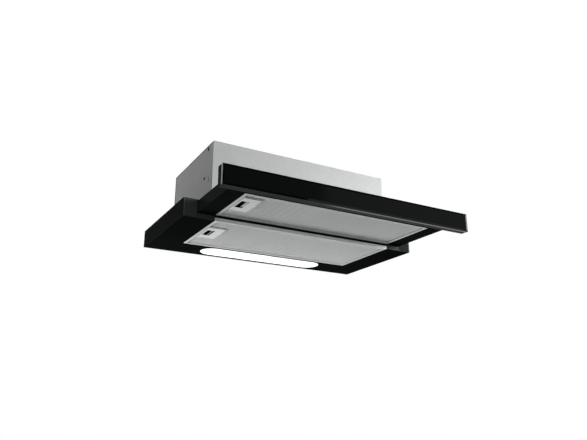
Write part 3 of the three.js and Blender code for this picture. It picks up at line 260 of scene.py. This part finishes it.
# ------------------------------------------------------------------ mesh helpers
SMOOTH_ANGLE = 32
WELD_DISTANCE = 1e-6
FLAT_ANGLE = 0.4
BEVEL_ANGLE = 40
BEVEL_SEGMENTS = 2
LARGEST_FACE_WEIGHT = 100


def make_piece(name, mesh, body, slot, material=None):
    piece = bpy.data.objects.new(name, mesh)
    bpy.context.scene.collection.objects.link(piece)
    mesh.materials.append(material or MATERIALS[slot])
    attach(piece, body)
    return piece


def mesh_of(form, name):
    mesh = bpy.data.meshes.new(name)
    form.to_mesh(mesh)
    form.free()
    return mesh


def smooth_by_angle(mesh, degrees=SMOOTH_ANGLE):
    for face in mesh.polygons:
        face.use_smooth = True
    mesh.set_sharp_from_angle(angle=math.radians(degrees))


def apply_modifiers(piece):
    graph = bpy.context.evaluated_depsgraph_get()
    mesh = bpy.data.meshes.new_from_object(piece.evaluated_get(graph))
    piece.modifiers.clear()
    piece.data = mesh


def softened(node, width, angle):
    """A copy of a CAD node with its sharp edges rounded, which stands in for the node."""
    form = bmesh.new()
    form.from_mesh(frame["nodes"][node].data)
    bmesh.ops.remove_doubles(form, verts=form.verts, dist=WELD_DISTANCE)
    bmesh.ops.dissolve_limit(form, angle_limit=math.radians(FLAT_ANGLE), verts=form.verts,
                             edges=form.edges)
    mesh = mesh_of(form, f"{node}_skin")
    piece = make_piece(f"{node}_skin", mesh, BODY_OF[node], SLOT_OF[node])
    bevel = piece.modifiers.new("edges", "BEVEL")
    bevel.width = width
    bevel.segments = BEVEL_SEGMENTS
    bevel.limit_method = "ANGLE"
    bevel.angle_limit = math.radians(BEVEL_ANGLE)
    bevel.use_clamp_overlap = True
    apply_modifiers(piece)
    smooth_by_angle(piece.data, angle)
    weighted = piece.modifiers.new("normals", "WEIGHTED_NORMAL")
    weighted.weight = LARGEST_FACE_WEIGHT
    weighted.keep_sharp = True
    apply_modifiers(piece)
    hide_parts(node)
    return piece


def tint(piece, material, test):
    """Gives the faces that pass the test, by normal and middle, another material; most calls use
    it to paint light and shade by the way faces point.
    """
    piece.data.materials.append(material)
    index = len(piece.data.materials) - 1
    for face in piece.data.polygons:
        if test(face.normal, face.center):
            face.material_index = index


def paint_cad_nodes():
    for node, piece in frame["nodes"].items():
        piece.data.materials.clear()
        piece.data.materials.append(MATERIALS[SLOT_OF[node]])


# ------------------------------------------------------------------ carried-over pieces
EDGE_WIDTHS = {
    "canopy_shell": 0.0005,
    "canopy_base": 0.0003,
    "end_cap_left": 0.0006,
    "end_cap_right": 0.0006,
    "housing_wrap": 0.0004,
    "housing_rear_panel": 0.0003,
    "housing_top_plate": 0.0003,
    "duct_collar": 0.0005,
    "drawer_frame": 0.0003,
    "drawer_cover": 0.0003,
    "fascia_channel": 0.0003,
    "fascia_end_left": 0.0004,
    "fascia_end_right": 0.0004,
    "fascia_glass": 0.0003,
    "lamp_lens": 0.0004,
    "cable_gland": 0.0004,
    "rear_filter_frame": 0.0004,
    "drawer_filter_frame": 0.0004,
    "rear_filter_latch_case": 0.0003,
    "drawer_filter_latch_case": 0.0003,
    "rear_filter_latch_slider": 0.0002,
    "drawer_filter_latch_slider": 0.0002,
    "speed_knob": 0.0003,
    "light_knob": 0.0003,
}
SMOOTH_ANGLES = {"fascia_glass": 4}
FLAT = 0.9
FRONT_FLAT = 0.999
FOOT_SLOPE = 0.3
LATCH_PLATE = 0.6 * MM


def faces_down(normal, _middle):
    return normal.z < -FLAT


def faces_front(normal, _middle):
    return normal.y < -FLAT


def faces_sideways(normal, _middle):
    return abs(normal.x) > FLAT


def on_glass_bevel(normal, _middle):
    return -FRONT_FLAT < normal.y < -FLAT


def on_right_bevel(normal, middle):
    return on_glass_bevel(normal, middle) and normal.x > abs(normal.z)


def behind_glass_front(normal, _middle):
    return normal.y > -FLAT


def on_glass_foot(normal, middle):
    return behind_glass_front(normal, middle) and normal.z < -FOOT_SLOPE


def anywhere(_normal, _middle):
    return True


# Later rows paint over earlier ones. All rows but the glass edge, the fascia channel and the
# fascia end plugs paint light and shade onto faces, chosen by the way the faces point.
FACE_FINISHES_AND_PAINTED_LIGHT = (
    ("canopy_base", SHADED_UNDERSIDE, faces_down),
    ("drawer_frame", SHADED_DRAWER_UNDERSIDE, faces_down),
    ("drawer_cover", SHADED_DRAWER_UNDERSIDE, faces_down),
    ("canopy_base", LIT_BASE_FOLD, faces_front),
    ("drawer_frame", LIT_DRAWER_SIDE, faces_sideways),
    ("end_cap_left", CAP_FRONT_LIGHT_AND_SHADE["left"], faces_front),
    ("end_cap_right", CAP_FRONT_LIGHT_AND_SHADE["right"], faces_front),
    ("fascia_glass", SHADED_GLASS_BEVEL, on_glass_bevel),
    ("fascia_glass", GLASS_RIGHT_BEVEL_HIGHLIGHT, on_right_bevel),
    ("fascia_glass", GLASS_EDGE, behind_glass_front),
    ("fascia_glass", SHADED_GLASS_FOOT, on_glass_foot),
    ("fascia_channel", SATIN_PROFILE, anywhere),
    ("fascia_end_left", PLUG_FACE, faces_sideways),
    ("fascia_end_right", PLUG_FACE, faces_sideways),
    ("rear_filter_frame", LIT_FILTER_FACE, faces_front),
    ("drawer_filter_frame", LIT_FILTER_FACE, faces_front),
)


def paint_latch_pocket_shade(skin, case):
    """Painted shade: the faces inside the latch case, behind its face plate, are black."""
    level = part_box(case)[0].z + LATCH_PLATE
    tint(skin, PAINTED_SHADE_BLACK, lambda _normal, middle: middle.z > level)


def carry_over():
    paint_cad_nodes()
    skins = {node: softened(node, width, SMOOTH_ANGLES.get(node, SMOOTH_ANGLE))
             for node, width in EDGE_WIDTHS.items()}
    for node, finish, test in FACE_FINISHES_AND_PAINTED_LIGHT:
        tint(skins[node], finish, test)
    for name in FILTERS:
        case = f"{name}_latch_case"
        paint_latch_pocket_shade(skins[case], case)


# ------------------------------------------------------------------ filter mesh
STRAND_PITCH_X = 8.0 * MM
STRAND_PITCH_Y = 4.2 * MM
STRAND_OPEN = 0.66
STRAND_THICK = 0.28 * MM
STRAND_LIFT = 0.08 * MM
RIM_COVER = 2.2 * MM
MESH_DEPTH = 1.25 * MM
MICRONS_PER_METRE = 1e6


def diamond_lattice(x_span, y_span, z, keep_out):
    """Expanded metal: a flat sheet of diamond cells that share their corners. keep_out is the
    highest x and the y span of the part left open at the sheet's low x end."""
    points = []
    faces = []
    corner_of = {}

    def corner(x, y, lift):
        key = (round(x * MICRONS_PER_METRE), round(y * MICRONS_PER_METRE))
        if key not in corner_of:
            corner_of[key] = len(points)
            points.append((x, y, z + lift))
        return corner_of[key]

    columns = int((x_span[1] - x_span[0]) / STRAND_PITCH_X) - 1
    rows = int((y_span[1] - y_span[0]) / STRAND_PITCH_Y) - 1
    half_x = STRAND_PITCH_X / 2
    half_y = STRAND_PITCH_Y / 2
    start_x = (x_span[0] + x_span[1] - columns * STRAND_PITCH_X) / 2
    start_y = (y_span[0] + y_span[1] - rows * STRAND_PITCH_Y) / 2
    ends = ((half_x, 0, 0), (0, half_y, STRAND_LIFT), (-half_x, 0, 0), (0, -half_y, STRAND_LIFT))
    for row in range(2 * rows - 1):
        for column in range(columns - row % 2):
            x = start_x + half_x * (1 + row % 2) + column * STRAND_PITCH_X
            y = start_y + half_y * (1 + row)
            if x < keep_out[0] + half_x and keep_out[1] - half_y < y < keep_out[2] + half_y:
                continue
            outer = [corner(x + dx, y + dy, lift) for dx, dy, lift in ends]
            inner = range(len(points), len(points) + len(ends))
            for dx, dy, lift in ends:
                points.append((x + dx * STRAND_OPEN, y + dy * STRAND_OPEN, z + lift))
            for i in range(len(ends)):
                j = (i + 1) % len(ends)
                faces.append((outer[j], outer[i], inner[i], inner[j]))
    return points, faces


def filter_skin(name):
    low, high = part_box(f"{name}_frame")
    case_low, case_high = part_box(f"{name}_latch_case")
    keep_out = (case_high.x, case_low.y, case_high.y)
    points, faces = diamond_lattice(
        (low.x + RIM_COVER, high.x - RIM_COVER), (low.y + RIM_COVER, high.y - RIM_COVER),
        low.z + MESH_DEPTH, keep_out)
    mesh = bpy.data.meshes.new(f"{name}_expanded_mesh")
    mesh.from_pydata(points, [], faces)
    mesh.update()
    piece = make_piece(f"{name}_expanded_mesh", mesh, name, "filter_mesh")
    thick = piece.modifiers.new("thickness", "SOLIDIFY")
    thick.thickness = STRAND_THICK
    thick.offset = -1
    apply_modifiers(piece)


# ------------------------------------------------------------------ turned fasteners
TURN_STEPS = 18
SIXTH_TURN = math.pi / 3

# Rings of a head as shares of its radius and height, and which of them are six-sided
PAN_HEAD = (((1, 0), (1, 0.35), (0.9, 0.75), (0.62, 1), (0.42, 1), (0.42, 0.45)), (4, 5))
DOME_HEAD = (((1, 0), (0.93, 0.5), (0.7, 0.85), (0.3, 1)), ())

# Radius and height of each head
SCREW_HEAD = (3.2 * MM, 1.5 * MM)
COLLAR_SCREW_HEAD = (2.6 * MM, 1.4 * MM)
RIVET_HEAD = (1.6 * MM, 0.5 * MM)
PLUG_HEAD = (3.4 * MM, 1.2 * MM)


def turned(form, place, axis, kind, size):
    """Adds a closed head of one kind and size that stands on its place along the axis."""
    shares, six_sided = kind
    place = Vector(place)
    turn = Vector(axis).to_track_quat("Z", "Y").to_matrix()
    loops = []
    for number, (radius_share, height_share) in enumerate(shares):
        radius, height = size[0] * radius_share, size[1] * height_share
        loop = []
        for step in range(TURN_STEPS):
            angle = 2 * math.pi * step / TURN_STEPS
            reach = radius
            if number in six_sided:
                reach = radius / math.cos((angle % SIXTH_TURN) - SIXTH_TURN / 2)
            spot = Vector((reach * math.cos(angle), reach * math.sin(angle), height))
            loop.append(form.verts.new(place + turn @ spot))
        loops.append(loop)
    form.faces.new(list(reversed(loops[0])))
    for below, above in zip(loops, loops[1:]):
        for step in range(TURN_STEPS):
            after = (step + 1) % TURN_STEPS
            form.faces.new((below[step], below[after], above[after], above[step]))
    form.faces.new(loops[-1])


def fasteners(name, body, slot, material, places, kind, size):
    """One piece that holds a row of like fasteners; a place is its point and axis."""
    form = bmesh.new()
    for place, axis in places:
        turned(form, place, axis, kind, size)
    mesh = mesh_of(form, name)
    smooth_by_angle(mesh)
    make_piece(name, mesh, body, slot, material)


SCREW_INSET = 6.5 * MM
TOP_SCREWS = 5
REAR_SCREWS = 3
REAR_SCREW_INSETS = (4 * SCREW_INSET, 3 * SCREW_INSET)
COLLAR_SCREWS = 6
COLLAR_FIRST_SCREW = 30
COLLAR_FLANGE = 1.8 * MM
UP, DOWN, BACK = (0, 0, 1), (0, 0, -1), (0, 1, 0)


def between(low, high, count):
    """Evenly spaced places from low to high."""
    return [low + (high - low) * i / (count - 1) for i in range(count)]


def housing_fasteners():
    """Screws along the top plate's edges and up the rear panel's two edges."""
    low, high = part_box("housing_top_plate")
    middle = (low.y + high.y) / 2
    places = [((x, y, high.z), UP)
              for x in between(low.x + SCREW_INSET, high.x - SCREW_INSET, TOP_SCREWS)
              for y in (low.y + SCREW_INSET, high.y - SCREW_INSET)]
    places += [((side * (high.x - SCREW_INSET), middle, high.z), UP) for side in SIDES]
    low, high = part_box("housing_rear_panel")
    levels = between(low.z + REAR_SCREW_INSETS[0], high.z - REAR_SCREW_INSETS[1], REAR_SCREWS)
    places += [((side * (high.x - SCREW_INSET), high.y, z), BACK)
               for side in SIDES for z in levels]
    fasteners("housing_screws", "canopy", "galvanised_steel", SCREW_STEEL, places, PAN_HEAD,
              SCREW_HEAD)


def collar_fasteners():
    """Ring of screws in the duct collar's flange."""
    low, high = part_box("duct_collar")
    centre = (low + high) / 2
    reach = (high.x - low.x) / 2 - SCREW_INSET
    places = []
    for step in range(COLLAR_SCREWS):
        angle = math.radians(COLLAR_FIRST_SCREW + 360 / COLLAR_SCREWS * step)
        places.append(((centre.x + reach * math.cos(angle), centre.y + reach * math.sin(angle),
                        low.z + COLLAR_FLANGE), UP))
    fasteners("collar_screws", "canopy", "galvanised_steel", SCREW_STEEL, places, PAN_HEAD,
              COLLAR_SCREW_HEAD)


RIVET_INSET = 3.4 * MM
HINGE_INSET = 26 * MM
BORDER_WIDTH = 4.2 * MM
BORDER_LEVELS = (0.2 * MM, 1.0 * MM)


def filter_rivets(name):
    """Domed rivets beside the latch plate and at the corners of the mesh."""
    low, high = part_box(f"{name}_frame")
    case_low, case_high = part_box(f"{name}_latch_case")
    beside = BORDER_WIDTH / 2
    face = low.z + BORDER_LEVELS[0]
    places = [((x, y, low.z), DOWN) for x in (low.x + RIVET_INSET, high.x - HINGE_INSET)
              for y in (low.y + RIVET_INSET, high.y - RIVET_INSET)]
    places.append(((case_low.x + beside, case_high.y + beside, face), DOWN))
    places.append(((case_high.x + beside, (case_low.y + case_high.y) / 2, face), DOWN))
    fasteners(f"{name}_rivets", name, "filter_aluminium", RIVET_METAL, places, DOME_HEAD,
              RIVET_HEAD)


# Distance behind the housing's front, and height above the seat
PLUG_PLACE = (49 * MM, 77 * MM)


def hole_plugs():
    """Domed rubber plug in the round hole of each side wall."""
    low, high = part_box("housing_wrap")
    places = [((side * high.x, low.y + PLUG_PLACE[0], PLUG_PLACE[1]), (side, 0, 0))
              for side in SIDES]
    fasteners("hole_plugs", "canopy", "black_plastic", SHADOW_LINE_AND_PLUG_DARK, places, DOME_HEAD, PLUG_HEAD)


# ------------------------------------------------------------------ strips: painted shade, painted highlights and the latch border
STRIP_BEVEL_SHARE = 0.3
STRIP_BEVEL_SEGMENTS = 2


def strip_mesh(name, body, slot, material, spans):
    """Thin closed strips with softened edges; a span is its low and high corner."""
    form = bmesh.new()
    for low, high in spans:
        made = bmesh.ops.create_cube(form, size=1)["verts"]
        low, high = Vector(low), Vector(high)
        size = high - low
        move = Matrix.Translation((low + high) / 2) @ Matrix.Diagonal((*size, 1))
        bmesh.ops.transform(form, verts=made, matrix=move)
        edges = list({edge for vert in made for edge in vert.link_edges})
        bmesh.ops.bevel(form, geom=edges, offset=min(size) * STRIP_BEVEL_SHARE,
                        segments=STRIP_BEVEL_SEGMENTS, profile=0.5, affect="EDGES")
    mesh = mesh_of(form, name)
    smooth_by_angle(mesh)
    make_piece(name, mesh, body, slot, material)


def side_span(side, inner, outer):
    """Low and high x of a strip between two distances from the middle, on one side."""
    return sorted((side * inner, side * outer))


SHADOW_LINE_HEIGHT = 1.5 * MM
SHADOW_LINE_PROUD = 0.25 * MM
REAR_SHADOW_WIDTH = 3.2 * MM


def housing_shadow_lines():
    """Dark strips under the top plate's edge and down the rear corners: painted shadow lines at
    these seams.
    """
    low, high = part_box("housing_wrap")
    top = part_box("housing_top_plate")[0].z
    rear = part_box("housing_rear_panel")[1].y
    spans = []
    for side in SIDES:
        x = side_span(side, high.x, high.x + SHADOW_LINE_PROUD)
        spans.append(((x[0], low.y, top - SHADOW_LINE_HEIGHT), (x[1], rear, top)))
        spans.append(((x[0], rear - REAR_SHADOW_WIDTH, low.z), (x[1], rear, top - SHADOW_LINE_HEIGHT)))
    strip_mesh("housing_shadow_lines", "canopy", "black_plastic", SHADOW_LINE_AND_PLUG_DARK, spans)


def latch_border(name):
    """Flat frame that closes the mesh's cut edge round the latch plate, painted darker than the
    filter aluminium as shade.
    """
    low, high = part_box(f"{name}_latch_case")
    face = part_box(f"{name}_frame")[0].z
    bottom, top = (face + level for level in BORDER_LEVELS)
    outer = high.x + BORDER_WIDTH
    spans = [((low.x, low.y - BORDER_WIDTH, bottom), (outer, low.y, top)),
             ((low.x, high.y, bottom), (outer, high.y + BORDER_WIDTH, top)),
             ((high.x, low.y, bottom), (outer, high.y, top))]
    strip_mesh(f"{name}_latch_border", name, "filter_aluminium", SHADED_BORDER_METAL, spans)


# Heights above the seat, and distances behind the housing's front
SHADE_SHEET_LEVELS = ((54 * MM, 86 * MM), (133 * MM, 149 * MM))
SHADE_SHEET_PLACES = (15 * MM, 60 * MM)
SHADE_SHEET_THICK = 1.2 * MM
WALL_SHEET = 0.8 * MM


def slot_shade_sheets():
    """Black sheets just inside each side wall, behind its slots and its hole: painted shade seen
    through them.
    """
    low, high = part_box("housing_wrap")
    front, rear = (low.y + place for place in SHADE_SHEET_PLACES)
    face = high.x - WALL_SHEET
    spans = []
    for side in SIDES:
        x = side_span(side, face - SHADE_SHEET_THICK, face)
        spans += [((x[0], front, bottom), (x[1], rear, top)) for bottom, top in SHADE_SHEET_LEVELS]
    strip_mesh("slot_shade_sheets", "canopy", "black_plastic", PAINTED_SHADE_BLACK, spans)


# Distance behind the housing's front, x and y size, and heights above the seat
SLOT_SHADE_PLACE = 29 * MM
SLOT_SHADE_SIZE = (1.7 * MM, 1.0 * MM)
SLOT_SHADE_LEVELS = (138 * MM, 147 * MM)


def slot_shade_strips():
    """Dark strip on the outside of each side wall at the front edge of its upper slot: painted
    shade of the slot.
    """
    low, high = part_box("housing_wrap")
    y = low.y + SLOT_SHADE_PLACE
    spans = []
    for side in SIDES:
        x = side_span(side, high.x, high.x + SLOT_SHADE_SIZE[0])
        spans.append(((x[0], y, SLOT_SHADE_LEVELS[0]), (x[1], y + SLOT_SHADE_SIZE[1], SLOT_SHADE_LEVELS[1])))
    strip_mesh("slot_shade_strips", "canopy", "black_plastic", PAINTED_SHADE_BLACK, spans)


CORNER_STRIP_WIDTH = 8.0 * MM
CORNER_PROUD = 0.2 * MM


def housing_corner_highlights():
    """Thin strip down the front end of each side wall, lighter than the housing: a painted
    highlight at each front corner.
    """
    low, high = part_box("housing_wrap")
    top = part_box("housing_top_plate")[0].z - SHADOW_LINE_HEIGHT
    spans = []
    for side in SIDES:
        x = side_span(side, high.x, high.x + CORNER_PROUD)
        spans.append(((x[0], low.y, low.z), (x[1], low.y + CORNER_STRIP_WIDTH, top)))
    strip_mesh("housing_corner_highlights", "canopy", "galvanised_steel", CORNER_HIGHLIGHT_STEEL, spans)


CAP_LINE = 2.2 * MM
CAP_PROUD = 0.15 * MM


def cap_highlight_beads():
    """Raised bead down the outer edge of each end cap's front, painted lighter than the cap as a
    highlight.
    """
    spans = []
    for name in SIDE_NAMES:
        low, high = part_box(f"end_cap_{name}")
        x = (low.x, low.x + CAP_LINE) if name == "left" else (high.x - CAP_LINE, high.x)
        spans.append(((x[0], low.y - CAP_PROUD, low.z), (x[1], low.y, high.z)))
    strip_mesh("cap_highlight_beads", "canopy", "black_paint", CAP_BEAD_HIGHLIGHT, spans)


def dress():
    cap_highlight_beads()
    housing_corner_highlights()
    slot_shade_strips()
    hole_plugs()
    housing_fasteners()
    collar_fasteners()
    housing_shadow_lines()
    slot_shade_sheets()
    for name in FILTERS:
        filter_skin(name)
        filter_rivets(name)
        latch_border(name)


# ------------------------------------------------------------------ stage, lamps, camera
CAMERA_PLACE = (-0.6877, -1.1635, -0.4446)
CAMERA_YAW = 29.4
CAMERA_PITCH = 18.2
LEVEL_CAMERA = 90
FOCAL_PIXELS = 610.6
PHOTO_WIDTH = 587
SENSOR_WIDTH = 36.0
FLOOR_Z = -1.7
STAGE_HALF = 12.0
FLOOR_COLOUR = (0.9, 0.9, 0.9, 1)
FLOOR_ROUGHNESS = 0.8
FLOOR_GLOW = 0.78
WORLD_LEVEL = 0.11

# Name, place, aim, size, watts, and whether glossy surfaces show the lamp
LAMPS = (
    ("key", (0.92, -1.15, 0.13), (0.2, 0.0, 0.05), (0.9, 0.25), 20.5, True),
    ("panel", (1.18, -1.45, 0.62), (0.15, -0.2, 0.0), (0.8, 0.5), 4, True),
    ("border", (1.26, -0.82, 0.37), (0.3, -0.2, 0.0), (0.25, 0.25), 1.4, True),
    ("fill", (-1.1, -1.7, 0.1), (-0.2, 0, 0), (0.8, 0.8), 2.4, True),
    ("under", (-0.1, 0.95, -0.52), (0.0, 0.0, 0.0), (0.6, 0.6), 20, False),
    ("edge", (1.15, 1.0, -0.55), (0.15, -0.1, 0.0), (1.0, 0.2), 3, True),
    ("back", (0.6, 2.0, 0.9), (0, 0.1, 0.05), (1.6, 1.2), 5.5, True),
    ("top", (0, 0.2, 2.0), (0, 0.1, 0), (1.2, 1.2), 12, True),
)


def add_camera():
    data = bpy.data.cameras.new("camera")
    data.sensor_width = SENSOR_WIDTH
    data.lens = SENSOR_WIDTH * FOCAL_PIXELS / PHOTO_WIDTH
    camera = bpy.data.objects.new("camera", data)
    camera.location = CAMERA_PLACE
    camera.rotation_euler = (math.radians(LEVEL_CAMERA + CAMERA_PITCH), 0,
                             math.radians(-CAMERA_YAW))
    bpy.context.scene.collection.objects.link(camera)
    bpy.context.scene.camera = camera


def seen_rays(tree):
    """1 for camera, glossy and transmission rays."""
    path = tree.nodes.new("ShaderNodeLightPath")
    total = path.outputs["Is Camera Ray"]
    for name in ("Is Glossy Ray", "Is Transmission Ray"):
        both = tree.nodes.new("ShaderNodeMath")
        both.operation = "MAXIMUM"
        tree.links.new(total, both.inputs[0])
        tree.links.new(path.outputs[name], both.inputs[1])
        total = both.outputs[0]
    return total


def add_world():
    """White to the rays that show it, and a low even light to the object."""
    world = bpy.data.worlds.new("studio")
    world.use_nodes = True
    bpy.context.scene.world = world
    tree = world.node_tree
    plain = tree.nodes["Background"]
    plain.inputs["Color"].default_value = WHITE
    plain.inputs["Strength"].default_value = WORLD_LEVEL
    white = tree.nodes.new("ShaderNodeBackground")
    white.inputs["Color"].default_value = WHITE
    white.inputs["Strength"].default_value = 1.0
    mix = tree.nodes.new("ShaderNodeMixShader")
    tree.links.new(seen_rays(tree), mix.inputs["Fac"])
    tree.links.new(plain.outputs[0], mix.inputs[1])
    tree.links.new(white.outputs[0], mix.inputs[2])
    tree.links.new(mix.outputs[0], tree.nodes["World Output"].inputs["Surface"])


def add_floor():
    mesh = bpy.data.meshes.new("floor")
    corners = [(x * STAGE_HALF, y * STAGE_HALF, FLOOR_Z) for x, y in
               ((-1, -1), (1, -1), (1, 1), (-1, 1))]
    mesh.from_pydata(corners, [], [(0, 1, 2, 3)])
    made, tree, shader = new_material("floor")
    shader.inputs["Base Color"].default_value = FLOOR_COLOUR
    shader.inputs["Roughness"].default_value = FLOOR_ROUGHNESS
    shader.inputs["Emission Color"].default_value = WHITE
    glow = tree.nodes.new("ShaderNodeMath")
    glow.operation = "MULTIPLY"
    glow.inputs[1].default_value = FLOOR_GLOW
    tree.links.new(seen_rays(tree), glow.inputs[0])
    tree.links.new(glow.outputs[0], shader.inputs["Emission Strength"])
    mesh.materials.append(made)
    floor = bpy.data.objects.new("floor", mesh)
    bpy.context.scene.collection.objects.link(floor)


def area_light(name, place, target, size, power, mirrored):
    data = bpy.data.lights.new(name, "AREA")
    data.shape = "RECTANGLE"
    data.size, data.size_y = size
    data.energy = power
    lamp = bpy.data.objects.new(name, data)
    lamp.location = place
    lamp.rotation_euler = (Vector(target) - Vector(place)).to_track_quat("-Z", "Y").to_euler()
    lamp.visible_camera = False
    lamp.visible_glossy = mirrored
    bpy.context.scene.collection.objects.link(lamp)


# ------------------------------------------------------------------ build
carry_over()
dress()
add_camera()
add_world()
add_floor()
for lamp_row in LAMPS:
    area_light(*lamp_row)
bpy.context.scene.view_settings.view_transform = "Standard"
